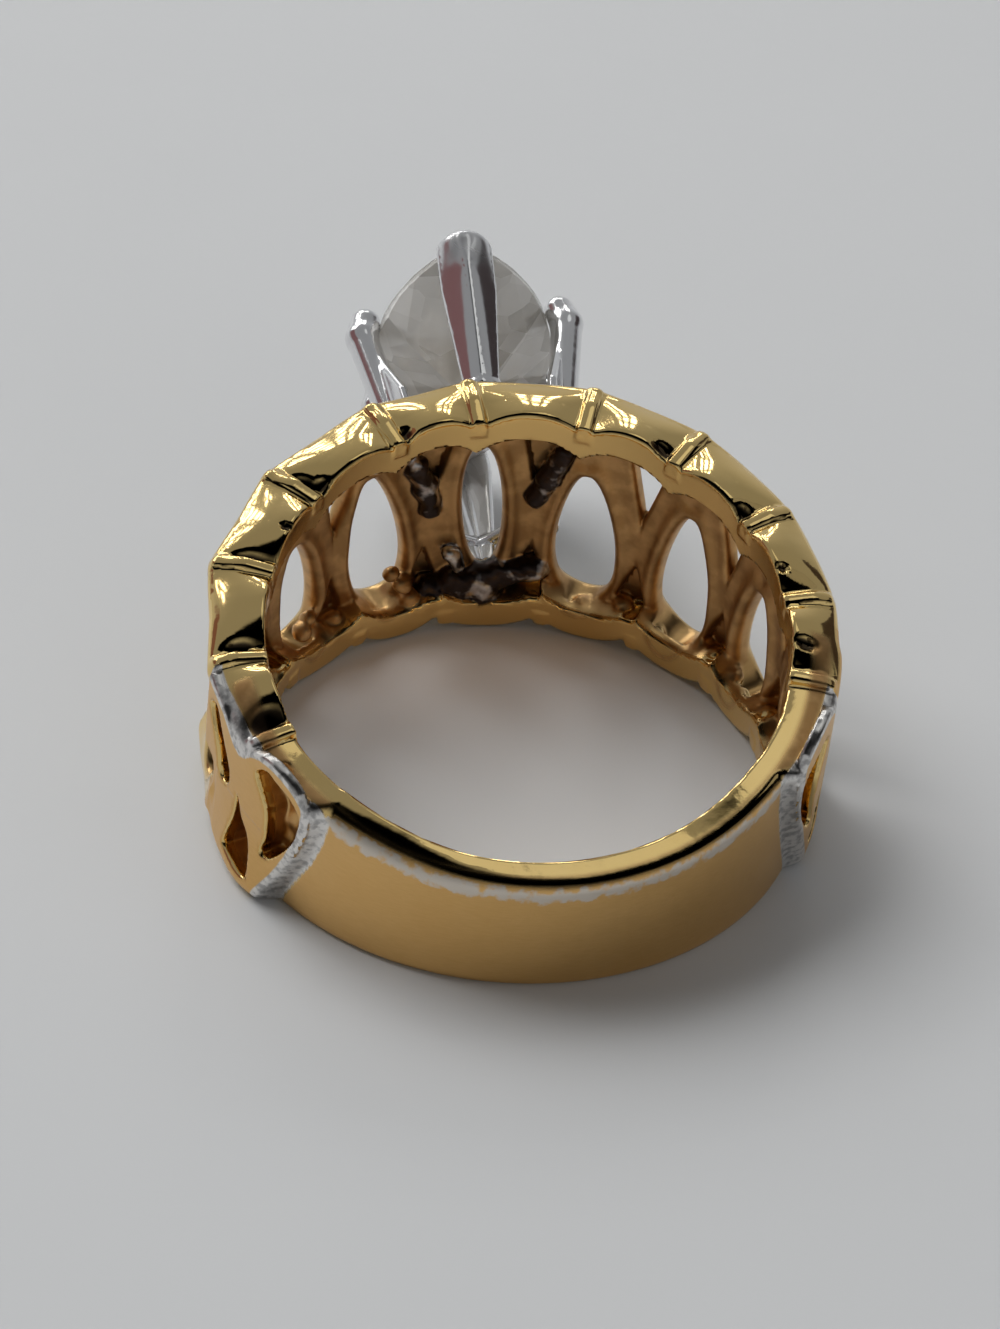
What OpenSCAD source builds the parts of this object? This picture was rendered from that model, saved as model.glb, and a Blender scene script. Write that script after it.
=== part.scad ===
// Dress ring lying on its side: an openwork band with scalloped rims, and a marquise stone
// in a raised six-prong head. Units are millimetres.
// The origin is where the axis of the finger hole meets the surface that the ring lies on,
// +Z is up and the head points to +Y. The band is wider at the head than at the back, so the
// finger axis leans back by half the angle between the planes of its two rims.

/* [Finger hole] */
// Radius of the finger hole
finger_r = 8.7; // [8.2:0.05:9.2]

/* [Band] */
// Outer radius of the openwork, measured at the sides
band_r = 10.6; // [10.5:0.02:11]
// How much farther out the openwork stands at the head
band_swell = 0.5; // [0.3:0.05:0.7]
// How much farther out it stands left of the head
left_flare = 0.25; // [0:0.05:0.3]
// Outer radius of the plain shank at the back
shank_r = 9.9; // [9.6:0.05:10.1]
// Height of the band at its sides, over the crests of the scallops
side_h = 8.1; // [7.6:0.05:8.6]
// Angle between the planes of the two rims
taper = 15.4; // [14:0.1:16]
// How much higher the upper rim is on the right, and lower on the left
skew = 0.3; // [0:0.05:0.6]
// Outer radius of the frames, between the flared rims
waist_r = 10.4; // [10.3:0.02:10.5]
// Inner radius of the frames, behind the rails that the finger touches
frame_r = 9.5; // [9.2:0.05:9.6]
// Height of the flare of each rim
flare = 1.4; // [1.2:0.1:1.6]
// Chamfer on the outer edges
edge = 0.22; // [0.1:0.01:0.3]

/* [Scallops] */
// Mean angle from one ridge to the next
pitch = 21.8; // [21:0.1:22]
// How far a lobe stands over its ridges
scallop = 0.6; // [0.3:0.05:0.7]
// How far the rims' outer edges draw in between two ridges
dip = 0.15; // [0:0.05:0.3]
// How far the lower pattern is turned against the upper one
twist = 5; // [0:0.5:6]
// Radius of the ridge bars across the rims
ridge_r = 0.26; // [0.2:0.01:0.35]

/* [Openwork] */
// Half the width of a tall oval hole
oval_w = 1; // [0.9:0.01:1.15]
// Half the width of the middle oval hole
middle_w = 0.7; // [0.6:0.05:1]
// Half the height of an oval hole, as a share of half the rim height
oval_share = 0.59; // [0.54:0.01:0.62]
// Distance of an oval hole's foot from the crests of the lower rim
oval_foot = 1.1; // [1:0.05:1.3]
// How far the middle oval hole stands higher
middle_lift = 0.9; // [0:0.1:1]
// Angle between a ridge and the oval hole below it
oval_turn = 2; // [0:0.5:3]
// Slant of an oval hole
oval_slant = 4; // [0:1:6]
// Half the width of a three-sided gap at its rail
gap_w = 0.72; // [0.5:0.02:0.8]
// Width of the rail between a gap and the crest of its lobe
rail = 1.35; // [1.2:0.05:1.5]
// How deep the two hollows of the last motif go
hollow_depth = 1.1; // [0.6:0.05:1.2]

/* [Stone] */
// Length of the stone
stone_l = 10.9; // [10:0.1:11]
// Width of the stone
stone_w = 6.3; // [6:0.1:6.5]
// Distance of the girdle from the finger axis
girdle_y = 17; // [16.8:0.1:17.6]
// Height of the crown
crown_h = 1.05; // [0.8:0.05:1.2]
// Depth of the pavilion
pavilion_h = 3; // [2.6:0.1:3.2]

/* [Setting] */
// Radius of a side prong
prong_r = 0.58; // [0.4:0.02:0.6]
// Wall of the folded end prongs
fold_t = 0.5; // [0.4:0.05:0.55]
// Distance of the side prongs from the middle of the stone, along its length
side_z = 1.65; // [1.6:0.05:2.1]
// Play between the pieces
play = 0.04; // [0.03:0.01:0.06]
// Turn of the head round the finger axis, against the middle ridge
head_turn = 2.4; // [0:0.2:3]
// Turn of the head in its seat, against the finger axis
head_roll = 4; // [0:0.5:6]

/* [Hidden] */
$fn = 48;

lean = taper / 2;
// Distance of the band's middle plane from the origin, along the finger axis
mid_t = side_h / 2 / cos(lean);

// The openwork runs from ridge -5 to ridge 5, and its last motif a little past them
last_ridge = 5;
motif_end = last_ridge + 5 / 6;
lobe_steps = 6;
shank_steps = 22;
// Angles of the upper rim's ridges, from the left to the right
ridge_at = [-109.5, -90, -67.3, -45.6, -21.3, -2.4, 20.9, 42.5, 64.9, 86, 105.8];
// How far the foot of the last motif is drawn towards the head
foot_pull = 9.5;
// Angle over which the shank straightens up again beside the motif
shank_blend = 22;

function outer_r(a) = band_r + band_swell * cos(a) + left_flare * exp(-pow((a + 68) / 26, 2));
// Angle of a place that is given as a count of ridges from the middle one
function angle_of(s) = lookup(s, concat([[-motif_end, -motif_end * pitch]],
    [for (i = [-last_ridge : last_ridge]) [i, ridge_at[i + last_ridge]]], [[motif_end, motif_end * pitch]]));
function lobe(s) = let (t = s - floor(s)) 4 * scallop * t * (1 - t);

// Planes through the crests of the lower and the upper rim, as heights along the finger axis
function low_t(a, r) = -r * cos(a) * tan(lean);
function high_t(a, r) = 2 * mid_t + r * cos(a) * tan(lean) + skew * sin(a);
function half_t(a) = (high_t(a, finger_r + 1) - low_t(a, finger_r + 1)) / 2;
function middle_t(a) = (high_t(a, finger_r + 1) + low_t(a, finger_r + 1)) / 2;

// Point at angle a from the head, distance r from the axis, height t along it
function polar(a, r, t) = [r * sin(a), r * cos(a), t];

// Turn of a section's foot against its top
function motif_foot(s) =
    lookup(s, [[-motif_end, foot_pull], [-last_ridge, -twist], [last_ridge, -twist], [motif_end, -foot_pull]]);
function shank_foot(a, end) =
    lookup(a, [[end, -foot_pull], [end + shank_blend, 0], [360 - end - shank_blend, 0], [360 - end, foot_pull]]);

// One section of the band, cut back by low and high from the planes of the crests. The upper rim's outer
// edge is level, so that only its inner edge goes up and down.
function section(a, foot, r_in, r_out, r_waist, low, high) =
    let (b = a + foot, low_m = a + 0.75 * foot, high_m = a + 0.25 * foot)
    [polar(b, r_in, low_t(b, r_in) + low), polar(b, r_out - edge, low_t(b, r_out - edge) + low),
     polar(b, r_out, low_t(b, r_out) + low + edge), polar(low_m, r_waist, low_t(low_m, r_out) + scallop + flare),
     polar(high_m, r_waist, high_t(high_m, r_out) - scallop - flare),
     polar(a, r_out, high_t(a, r_out) - scallop - edge),
     polar(a, r_out - edge, high_t(a, r_out - edge) - scallop),
     polar(a, r_in, high_t(a, r_in) - high)];

function motif_section(s, r_in) = let (a = angle_of(s), cut = scallop - lobe(s))
    section(a, motif_foot(s), r_in, outer_r(a) - dip * lobe(s) / scallop, waist_r, cut, cut);
function shank_section(a, end, r_in) = section(a, shank_foot(a, end), r_in, shank_r, shank_r, 0, scallop);

// Closed ring of sections joined by triangles
module skin_ring(sections) {
    n = len(sections);
    m = len(sections[0]);
    points = [for (s = sections) each s];
    faces = [for (i = [0 : n - 1], j = [0 : m - 1])
        let (a = i * m + j, b = i * m + (j + 1) % m,
             c = ((i + 1) % n) * m + (j + 1) % m, d = ((i + 1) % n) * m + j)
        each [[a, c, b], [a, d, c]]];
    polyhedron(points, faces);
}

module band_form() {
    steps = lobe_steps * motif_end;
    end = motif_end * pitch + 0.4;
    r_in = finger_r - 0.5;
    skin_ring(concat(
        [for (i = [-steps : steps]) motif_section(i / lobe_steps, r_in)],
        [for (i = [0 : shank_steps]) shank_section(end + (360 - 2 * end) * i / shank_steps, end, r_in)]));
}

// Section of the space between the two inner rails
function recess_section(s) =
    let (a = angle_of(s), b = a - twist, c = rail + scallop - lobe(s), from = finger_r - 0.6)
    [polar(b, from, low_t(b, from) + c), polar(b, frame_r, low_t(b, frame_r) + c),
     polar(a, frame_r, high_t(a, frame_r) - c), polar(a, from, high_t(a, from) - c)];

// The frames lie behind the inner rails
module recess() {
    steps = lobe_steps * (last_ridge - 0.5);
    n = 2 * steps;
    points = [for (i = [-steps : steps]) each recess_section(i / lobe_steps)];
    polyhedron(points, concat([[0, 1, 2, 3], [4 * n + 3, 4 * n + 2, 4 * n + 1, 4 * n]],
        [for (i = [0 : n - 1], j = [0 : 3])
            let (a = i * 4 + j, b = i * 4 + (j + 1) % 4) each [[a, b + 4, b], [a, a + 4, b + 4]]]));
}

module along_axis() {
    rotate([lean, 0, 0]) children();
}

// Radial cut of a flat shape that stands at angle a, at height t along the axis
module radial(a, t, from, to) {
    rotate([0, 0, -a]) translate([0, to, t]) rotate([90, 0, 0]) linear_extrude(to - from) children();
}

// Tall oval, wider below than above
module oval(w, h) {
    n = 10;
    polygon([for (i = [0 : 2 * n - 1]) let (t = 180 * i / n, c = cos(t), s = sin(t))
        [w * (1 - 0.25 * s) * pow(abs(c), 1.1) * sign(c), h * s]]);
}

// Three-sided gap with its point down and its base under the lobe
module gap(w, h) {
    polygon([[0, 0], [0.55 * w, 0.4 * h], [w, 0.85 * h], [0.8 * w, h], [0, 1.08 * h],
             [-0.8 * w, h], [-w, 0.85 * h], [-0.55 * w, 0.4 * h]]);
}

module ovals() {
    for (k = [1 - last_ridge : last_ridge - 1]) {
        a = k * pitch + (k == 0 ? 0.5 : 1) * oval_turn;
        h = oval_share * half_t(a);
        foot = oval_foot + (k == 0 ? middle_lift : 0);
        radial(a, low_t(a, finger_r + 1) + foot + h, frame_r - 0.2, outer_r(a) + 1)
            rotate(oval_slant) oval(k == 0 ? middle_w : oval_w, h);
    }
}

module gaps() {
    for (k = [1 - last_ridge : last_ridge - 2]) {
        a = (k + 0.5) * pitch + oval_turn;
        tall = 0.64 * half_t(a);
        // Those beside the middle oval are filled with solder
        to = abs(k + 0.5) < 1 ? frame_r + 0.4 : outer_r(a) + 1;
        radial(a, high_t(a, finger_r + 1) - rail - tall, frame_r - 0.2, to) gap(gap_w, tall);
    }
}

// Outlines of the last motif's two hollows, seen on the right side: across and up from their middles
half_moon = [[-0.9, -0.9], [-0.35, -1.9], [0.5, -1.2], [1.05, 0.2], [0.95, 1.1], [0.2, 1.8], [-0.9, 1.5]];
leaf = [[0.1, 1.7], [0.45, 0.2], [0.6, -1.5], [-0.2, -1.4], [-0.95, -1], [-0.5, 0.3]];

// The last motif on each side has a half-moon hollow and a leaf-shaped one, with a rib between
module hollows() {
    for (side = [-1, 1]) {
        a = side * (last_ridge + 0.5) * pitch;
        b = side * (last_ridge - 0.1) * pitch;
        radial(a, 5.1, outer_r(a) - hollow_depth, outer_r(a) + 1)
            polygon([for (p = half_moon) [side * p[0], p[1]]]);
        radial(b, 2.7, outer_r(b) - hollow_depth, outer_r(b) + 1)
            polygon([for (p = leaf) [side * p[0], p[1]]]);
    }
}

// Rounded bar across a rim at angle a, sunk into the rim's face, whose inner edge is at height t
module ridge(a, t, slope) {
    from = finger_r - 0.3;
    rotate([0, 0, -a]) translate([0, from, t]) rotate([slope - 90, 0, 0])
        cylinder(r = ridge_r, h = (outer_r(a) - edge - from) / cos(slope), $fn = 24);
}

// One ridge bar in each cusp of both rims
module ridges() {
    for (k = [-last_ridge : last_ridge]) {
        a = angle_of(k);
        b = a - twist;
        slope = atan(cos(a) * tan(lean));
        ridge(a, high_t(a, finger_r - 0.3) - scallop - 0.4 * ridge_r, slope);
        ridge(b, low_t(b, finger_r - 0.3) + scallop + 0.4 * ridge_r, -slope);
    }
}

module band() {
    color("goldenrod") along_axis() difference() {
        union() {
            band_form();
            ridges();
        }
        // The seam of the hole's wall lies at the head
        rotate([0, 0, 90]) cylinder(r = finger_r, h = 60, center = true, $fn = 120);
        recess();
        ovals();
        gaps();
        hollows();
    }
}

// Outline with two points, of the given half length and half width
module marquise(l, w) {
    arc_r = (l * l + w * w) / (2 * w);
    intersection_for (side = [-1, 1]) translate([side * (arc_r - w), 0]) circle(arc_r, $fn = 60);
}

// The head's own frame: its middle on the axis, X across, Y out of the finger, Z along the stone
module in_head() {
    along_axis() rotate([0, 0, -head_turn]) translate([0, 0, mid_t]) rotate([0, -head_roll, 0]) children();
}

// Flat shape laid across the head at distance y, its second axis along the stone
module across(y, h) {
    translate([0, y, 0]) rotate([-90, 0, 0]) linear_extrude(h) children();
}

module stone_form(extra) {
    l = stone_l / 2 + extra;
    w = stone_w / 2 + extra;
    hull() {
        across(girdle_y - 0.12, 0.24) marquise(l, w);
        across(girdle_y + crown_h, 0.01) marquise(0.58 * l, 0.6 * w);
        across(girdle_y - pavilion_h, 0.01) marquise(0.3 * l, 0.06 * w);
    }
}

module stone() {
    color("lightcyan") in_head() stone_form(0);
}

// Round wire from one point to the next
module wire(a, b, ra, rb) {
    hull() {
        translate(a) sphere(ra, $fn = 12);
        translate(b) sphere(rb, $fn = 12);
    }
}

// The prongs of the lower pair stand a little closer together than those of the upper one
module side_prong(x, z) {
    w = x * (z > 0 ? 1 : 0.93);
    at_z = z > 0 ? side_z : -side_z - 0.2;
    foot = [w * 2.6, waist_r - 0.2, at_z];
    knee = [w * 3.6, girdle_y - 0.5, at_z];
    tip = [w * 3.42, girdle_y + 0.25, at_z];
    wire(foot, knee, prong_r * 0.85, prong_r);
    wire(knee, tip, prong_r * 0.96, prong_r * 0.9);
}

// Web that stiffens a side prong towards the end of the stone
module gusset(x, z) {
    hull() {
        translate([x * 3.15, 15.2, z * 1.75]) sphere(0.22, $fn = 8);
        translate([x * 2.5, 10.6, z * 1.6]) sphere(0.22, $fn = 8);
        translate([x * 2.35, 10.6, z * 2.8]) sphere(0.22, $fn = 8);
        translate([x * 2.6, 12.7, z * 2.8]) sphere(0.22, $fn = 8);
    }
}

// Low wall from one side prong to the other
module side_wall(x) {
    hull() for (z = [-1.7, 1.7]) {
        translate([x * 2.55, 10.6, z]) sphere(0.22, $fn = 8);
        translate([x * 2.85, 12.9, z]) sphere(0.22, $fn = 8);
    }
}

// One half of a folded end prong: a wing from the fold line out to x
module fold_wing(x, z) {
    r = fold_t / 2 * (x > 0 ? 1 : 0.96);
    top = stone_l / 2 + 0.15;
    foot_y = waist_r - 0.1;
    hull() {
        translate([0, foot_y, z * 3.75]) sphere(r, $fn = 8);
        translate([0, girdle_y + 0.3, z * top]) sphere(r, $fn = 8);
        translate([x * 0.42, foot_y, z * 3.55]) sphere(r, $fn = 8);
        translate([x * 0.72, girdle_y + 0.25, z * (top - 0.75)]) sphere(r, $fn = 8);
    }
}

module end_prong(z) {
    fold_wing(1, z);
    fold_wing(-1, z);
    // Rounded cap that is bent over the stone's point
    hull() {
        for (x = [-0.38, 0.38]) translate([x, girdle_y + 0.2, z * (stone_l / 2 - 0.1)]) sphere(0.52, $fn = 12);
        translate([0, girdle_y + 0.66, z * (stone_l / 2 - 0.7)]) sphere(0.42, $fn = 12);
    }
}

// Bar that follows the stone's outline on the band
module base_ring(y, l, w, t) {
    across(y, t) difference() {
        marquise(l + t / 2, w + t / 2);
        marquise(l - t / 2, w - t / 2);
    }
}

// The band's outer face at the head, grown by the play, which the feet stand on
module seat() {
    r = waist_r + play;
    r_rim = outer_r(0) + play;
    top = high_t(0, r_rim) - scallop - flare;
    low = low_t(0, r_rim) + scallop + flare;
    h = flare - edge;
    rotate_extrude($fn = 90) polygon([[0, low - h], [r_rim, low - h], [r, low], [r, top], [r_rim, top + h],
        [0, top + h]]);
}

module setting() {
    color("silver") difference() {
        in_head() union() {
            for (z = [-1, 1]) {
                end_prong(z);
                for (x = [-1, 1]) {
                    side_prong(x, z);
                    gusset(x, z);
                }
            }
            for (x = [-1, 1]) side_wall(x);
            base_ring(11.25, 4, 2.6, 0.5);
        }
        in_head() stone_form(play);
        along_axis() seat();
    }
}

band();
setting();
stone();
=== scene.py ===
"""Looks of the cubic zirconia ring: band, setting and stone are rebuilt as fine meshes over the CAD frame.

The shapes are written as distance-like fields in millimetres, in the ring's own frame (the finger
axis is the third axis), and turned into quads by surface nets. The ring's frame leans by LEAN.
"""
import math

import bmesh
import bpy
import numpy as np
from mathutils import Matrix, Vector


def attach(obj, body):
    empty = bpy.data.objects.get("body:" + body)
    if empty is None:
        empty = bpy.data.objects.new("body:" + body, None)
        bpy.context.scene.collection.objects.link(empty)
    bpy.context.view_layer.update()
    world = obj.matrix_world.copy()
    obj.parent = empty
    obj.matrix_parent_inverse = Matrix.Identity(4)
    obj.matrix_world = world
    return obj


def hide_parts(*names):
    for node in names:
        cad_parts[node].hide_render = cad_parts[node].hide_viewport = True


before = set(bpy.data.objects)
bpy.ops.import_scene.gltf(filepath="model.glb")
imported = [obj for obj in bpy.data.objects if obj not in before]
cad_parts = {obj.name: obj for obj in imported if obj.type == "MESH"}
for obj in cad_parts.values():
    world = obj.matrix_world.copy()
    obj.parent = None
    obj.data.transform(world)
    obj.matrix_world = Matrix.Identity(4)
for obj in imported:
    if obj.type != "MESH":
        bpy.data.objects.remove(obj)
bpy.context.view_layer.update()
# Metres in a millimetre
MM = 0.001

# Sizes as in the CAD model, in mm and degrees

FINGER_R = 8.7
# Outer radii: the rims at the sides, their swell at the head, the plain shank, the openwork
BAND_R, SWELL, SHANK_R, WAIST_R = 10.6, 0.5, 9.86, 10.36
# Inner radius of the openwork between the rails, and the height of the rails
FRAME_R, RAIL = 9.5, 1.3
# Height of the band at the sides, and how much taller the right side is
SIDE_H, SKEW = 8.1, 0.3
LEAN = math.radians(7.7)
TAN_LEAN = math.tan(LEAN)
MID_T = SIDE_H / 2 / math.cos(LEAN)
# Angle between ridges, depth of the scallops, turn of the lower rim, ridges on each side of the middle one
PITCH, SCALLOP, TWIST, LAST = 21.8, 0.6, 5.0, 5
RIDGE_R = 0.3
# Angles of the upper rim's ridges from the left to the right, as the photograph shows them
RIDGE_AT = (-109.5, -90.0, -67.3, -45.6, -21.3, -2.4, 20.9, 42.5, 64.9, 86.0, 105.8)
# Oval holes from the left to the right: angle, half width, height of the foot, half height, slant, taper
OVALS = ((-85.5, 0.95, 1.0, 2.4, 6, 0.2), (-64, 0.95, 1.0, 2.6, 8, 0.2), (-42.5, 0.93, 0.95, 2.7, 9, 0.1),
         (-21.6, 1.0, 1.3, 3.2, 8.5, 0.28), (1.84, 0.69, 2.11, 3.07, 6, -0.05),
         (23.6, 1.03, 1.24, 2.95, 4, 0.3), (46.5, 1.0, 0.75, 3.0, 1, 0.3), (68, 0.84, 0.7, 2.5, 1, 0.23),
         (90, 0.9, 0.9, 2.3, 2, 0.2))
# Half width of the gaps between the ovals
GAP_W = 0.72
# Radii at which the openwork, the outer wall and the last motif are measured along the ring
REF_R, WALL_R, MOTIF_R = 9.7, 10.3, 10.5
# The upper rim's inner edge goes up and down, which fades out over LEVEL_OVER from this radius on
LEVEL_FROM, LEVEL_OVER = 8.9, 1.7
# The finger hole's wall lies this far behind the CAD's
BORE_PLAY = 0.03
# Angles from the head over which the lower rim's scallops, the waves of the outer wall, its waist and the
# openwork end
SCALLOPS_END, WAVES_END, WAIST_END, OPENWORK_END = (98, 106), (94, 99), (90, 97), (96, 99)
# Stone: length, width, distance of the girdle from the finger's axis, heights in front of it and behind it
STONE_L, STONE_W, GIRDLE_Y, CROWN_H, PAVILION_H = 10.9, 6.3, 17.0, 1.05, 3.0
HEAD_TURN, HEAD_ROLL = math.radians(2.4), math.radians(4)


# Small field helpers

def smooth_max(a, b, k):
    """Larger of two distances, with a fillet of about k."""
    h = np.clip(0.5 + 0.5 * (a - b) / k, 0, 1)
    return b + (a - b) * h + k * h * (1 - h)


def smooth_min(a, b, k):
    return -smooth_max(-a, -b, k)


def ramp(x, lo, hi):
    """Goes smoothly from 0 at lo to 1 at hi."""
    t = np.clip((x - lo) / (hi - lo), 0, 1)
    return t * t * (3 - 2 * t)


def arc_mm(degrees, radius):
    """Length of an angle along the ring."""
    return degrees * math.pi / 180 * radius


def least(first, *others):
    """Smallest of some values, point by point."""
    for value in others:
        first = np.minimum(first, value)
    return first


def capsule(p, a, b, ra, rb):
    """Distance to a rod from a to b whose radius goes from ra to rb."""
    a, b = np.array(a, float), np.array(b, float)
    d = b - a
    s = np.clip(((p - a) @ d) / (d @ d), 0, 1)
    return np.linalg.norm(p - a - s[:, None] * d, axis=1) - (ra + (rb - ra) * s)


def polygon_field(x, y, points):
    """Signed distance to a closed outline, negative inside."""
    pts = np.array(points, float)
    best = np.full(x.shape, 1e9)
    inside = np.zeros(x.shape, bool)
    for (ax, ay), (bx, by) in zip(pts, np.roll(pts, -1, 0)):
        ex, ey = bx - ax, by - ay
        wx, wy = x - ax, y - ay
        s = np.clip((wx * ex + wy * ey) / (ex * ex + ey * ey), 0, 1)
        best = np.minimum(best, np.hypot(wx - s * ex, wy - s * ey))
        crosses = ((ay > y) != (by > y)) & (x < (bx - ax) * (y - ay) / (by - ay + 1e-12) + ax)
        inside ^= crosses
    return np.where(inside, -best, best)


def lens(x, z, half_l, half_w):
    """Distance to the outline with two points, its length along z."""
    arc = (half_l ** 2 + half_w ** 2) / (2 * half_w)
    off = arc - half_w
    x, z = np.abs(x), np.abs(z)
    tip = np.hypot(x, z - half_l)
    side = np.hypot(x + off, z) - arc
    return np.where((z - half_l) * off > x * half_l, tip, side)


# Surface nets and pieces

def sample(field, points, shape):
    """Values of a field on a grid, worked out in parts to save memory."""
    return np.concatenate([field(part) for part in np.array_split(points, 8)]).reshape(shape)


def surface_nets(field, wrap):
    """Points of the zero surface of a field on a grid, in grid steps, and its quads.

    With wrap the grid's last slice meets its first one.
    """
    n0, n1, n2 = field.shape
    c0 = n0 if wrap else n0 - 1

    def corner(i, j, k):
        f = np.roll(field, -i, 0) if i else field
        return f[:c0, j:n1 - 1 + j, k:n2 - 1 + k]

    count = sum((corner(i, j, k) < 0).astype(np.int8) for i in (0, 1) for j in (0, 1) for k in (0, 1))
    active = (count > 0) & (count < 8)
    ids = np.full(active.shape, -1, np.int32)
    ids[active] = np.arange(active.sum(), dtype=np.int32)
    cell = np.argwhere(active)
    total, hits = np.zeros((len(cell), 3)), np.zeros(len(cell))
    for axis in range(3):
        step = np.eye(3, dtype=int)[axis]
        others = [v for v in range(3) if v != axis]
        for u in (0, 1):
            for v in (0, 1):
                base = np.zeros(3, int)
                base[others[0]], base[others[1]] = u, v
                p, q = cell + base, cell + base + step
                fp = field[p[:, 0] % n0, p[:, 1], p[:, 2]]
                fq = field[q[:, 0] % n0, q[:, 1], q[:, 2]]
                cut = (fp < 0) != (fq < 0)
                t = np.where(cut, fp / np.where(cut, fp - fq, 1), 0)
                total += np.where(cut[:, None], base + t[:, None] * step, 0)
                hits += cut
    points = cell + total / hits[:, None]
    quads = []
    for axis in range(3):
        u, v = (axis + 1) % 3, (axis + 2) % 3
        if wrap and axis == 0:
            low, high = field, np.roll(field, -1, 0)
        else:
            cut_lo, cut_hi = [slice(None)] * 3, [slice(None)] * 3
            cut_lo[axis], cut_hi[axis] = slice(0, -1), slice(1, None)
            low, high = field[tuple(cut_lo)], field[tuple(cut_hi)]
        at = np.argwhere((low < 0) != (high < 0))
        size = np.array(active.shape)
        ok = np.ones(len(at), bool)
        for w in (u, v):
            if not (wrap and w == 0):
                ok &= (at[:, w] > 0) & (at[:, w] < size[w])
        at = at[ok]
        rising = low[tuple(at.T)] < 0
        ring = []
        for du, dv in ((-1, -1), (0, -1), (0, 0), (-1, 0)):
            c = at.copy()
            c[:, u] += du
            c[:, v] += dv
            if wrap:
                c[:, 0] %= n0
            ring.append(ids[tuple(c.T)])
        ring = np.stack(ring, 1)
        ring[~rising] = ring[~rising][:, ::-1]
        quads.append(ring)
    return points, np.concatenate(quads)


def settle(points, field, rounds=3, step=0.02, reach=0.08):
    """Moves points onto the zero surface, and gives the surface's normals."""
    normal = None
    for i in range(rounds + 1):
        grad = np.stack([(field(points + d) - field(points - d)) / (2 * step)
                         for d in np.eye(3) * step], 1)
        size = np.maximum(np.linalg.norm(grad, axis=1), 0.2)
        normal = grad / size[:, None]
        if i < rounds:
            move = np.clip(field(points) / size, -reach, reach)
            points = points - normal * move[:, None]
    normal /= np.maximum(np.linalg.norm(normal, axis=1), 1e-9)[:, None]
    return points, normal


def add_object(name, data):
    obj = bpy.data.objects.new(name, data)
    bpy.context.scene.collection.objects.link(obj)
    return obj


def make_piece(name, points, faces, normals, node):
    """Mesh object in the row frame, which stands for a CAD node. Points are in millimetres."""
    mesh = bpy.data.meshes.new(name)
    mesh.from_pydata((np.asarray(points) * MM).tolist(), [], [list(map(int, f)) for f in faces])
    mesh.update()
    if normals is not None:
        mesh.polygons.foreach_set("use_smooth", [True] * len(mesh.polygons))
        mesh.normals_split_custom_set_from_vertices(np.asarray(normals).tolist())
    obj = add_object(name, mesh)
    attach(obj, "root")
    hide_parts(node)
    return obj


def add_layer(obj, name, values):
    """Value of each point between -1 and 1, for the materials."""
    layer = obj.data.attributes.new(name, "FLOAT", "POINT")
    layer.data.foreach_set("value", np.clip(np.asarray(values, np.float32), -1, 1))


# Frames of the ring and of the head

def lean_matrix():
    c, s = math.cos(LEAN), math.sin(LEAN)
    return np.array([[1, 0, 0], [0, c, -s], [0, s, c]])


def turn_matrix():
    c, s = math.cos(HEAD_TURN), math.sin(HEAD_TURN)
    return np.array([[c, s, 0], [-s, c, 0], [0, 0, 1]])


def roll_matrix():
    c, s = math.cos(HEAD_ROLL), math.sin(HEAD_ROLL)
    return np.array([[c, 0, -s], [0, 1, 0], [s, 0, c]])


def ring_to_row(p):
    return p @ lean_matrix().T


def head_to_ring(p):
    return (p @ roll_matrix().T + [0, 0, MID_T]) @ turn_matrix().T


def head_to_row(p):
    return (p @ roll_matrix().T + [0, 0, MID_T]) @ (lean_matrix() @ turn_matrix()).T


def head_normals_to_row(n):
    return n @ (lean_matrix() @ turn_matrix() @ roll_matrix()).T


# Band

def rim_r(a, share=1.0):
    """Outer radius of the rims, share being the height from the lower one to the upper one.

    On the left the upper one stands out a little more, and so does the lower one near the last motif.
    """
    deg = np.degrees(a)
    flare = 0.25 * np.exp(-((deg + 68) / 26) ** 2) * ramp(share, 0.25, 0.75)
    heel = 0.34 * np.exp(-((deg + 113) / 9) ** 2) * (1 - ramp(share, 0.0, 0.5))
    return BAND_R + SWELL * np.cos(a) + flare + heel


def low_t(a, r):
    """Height of the lower rim's crest plane."""
    return -r * np.cos(a) * TAN_LEAN


def high_t(a, r):
    """Height of the upper rim's crest plane."""
    return 2 * MID_T + r * np.cos(a) * TAN_LEAN + SKEW * np.sin(a)


def ridge_count(deg):
    """Place along the rim as a count of ridges from the middle one."""
    more = 8
    at = np.array((RIDGE_AT[0] - more * PITCH,) + RIDGE_AT + (RIDGE_AT[-1] + more * PITCH,))
    return np.interp(deg, at, (-LAST - more,) + tuple(range(-LAST, LAST + 1)) + (LAST + more,))


def lobe_cut(s, after):
    """How far a rim lies under its crest plane, s being the angle in pitches.

    Past the last ridge it goes to after, or ends with half a lobe if after is 0.
    """
    t = s - np.floor(s)
    cut = SCALLOP * np.abs(2 * t - 1) ** 2.3
    past = np.abs(s) - LAST
    low = after - 0.25 * after * np.sin(math.pi * np.clip(past / 2.4, 0, 1)) ** 2
    return np.where(past < 0, cut, low if after else cut * (past < 0.5))


# The last motif's end against the plain shank: share of the height, and angle from the head
END_LINE = ((0.0, 116.8), (0.1, 117.8), (0.3, 121.0), (0.5, 123.8), (0.72, 126.0), (0.85, 126.8),
            (1.0, 127.2))
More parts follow.
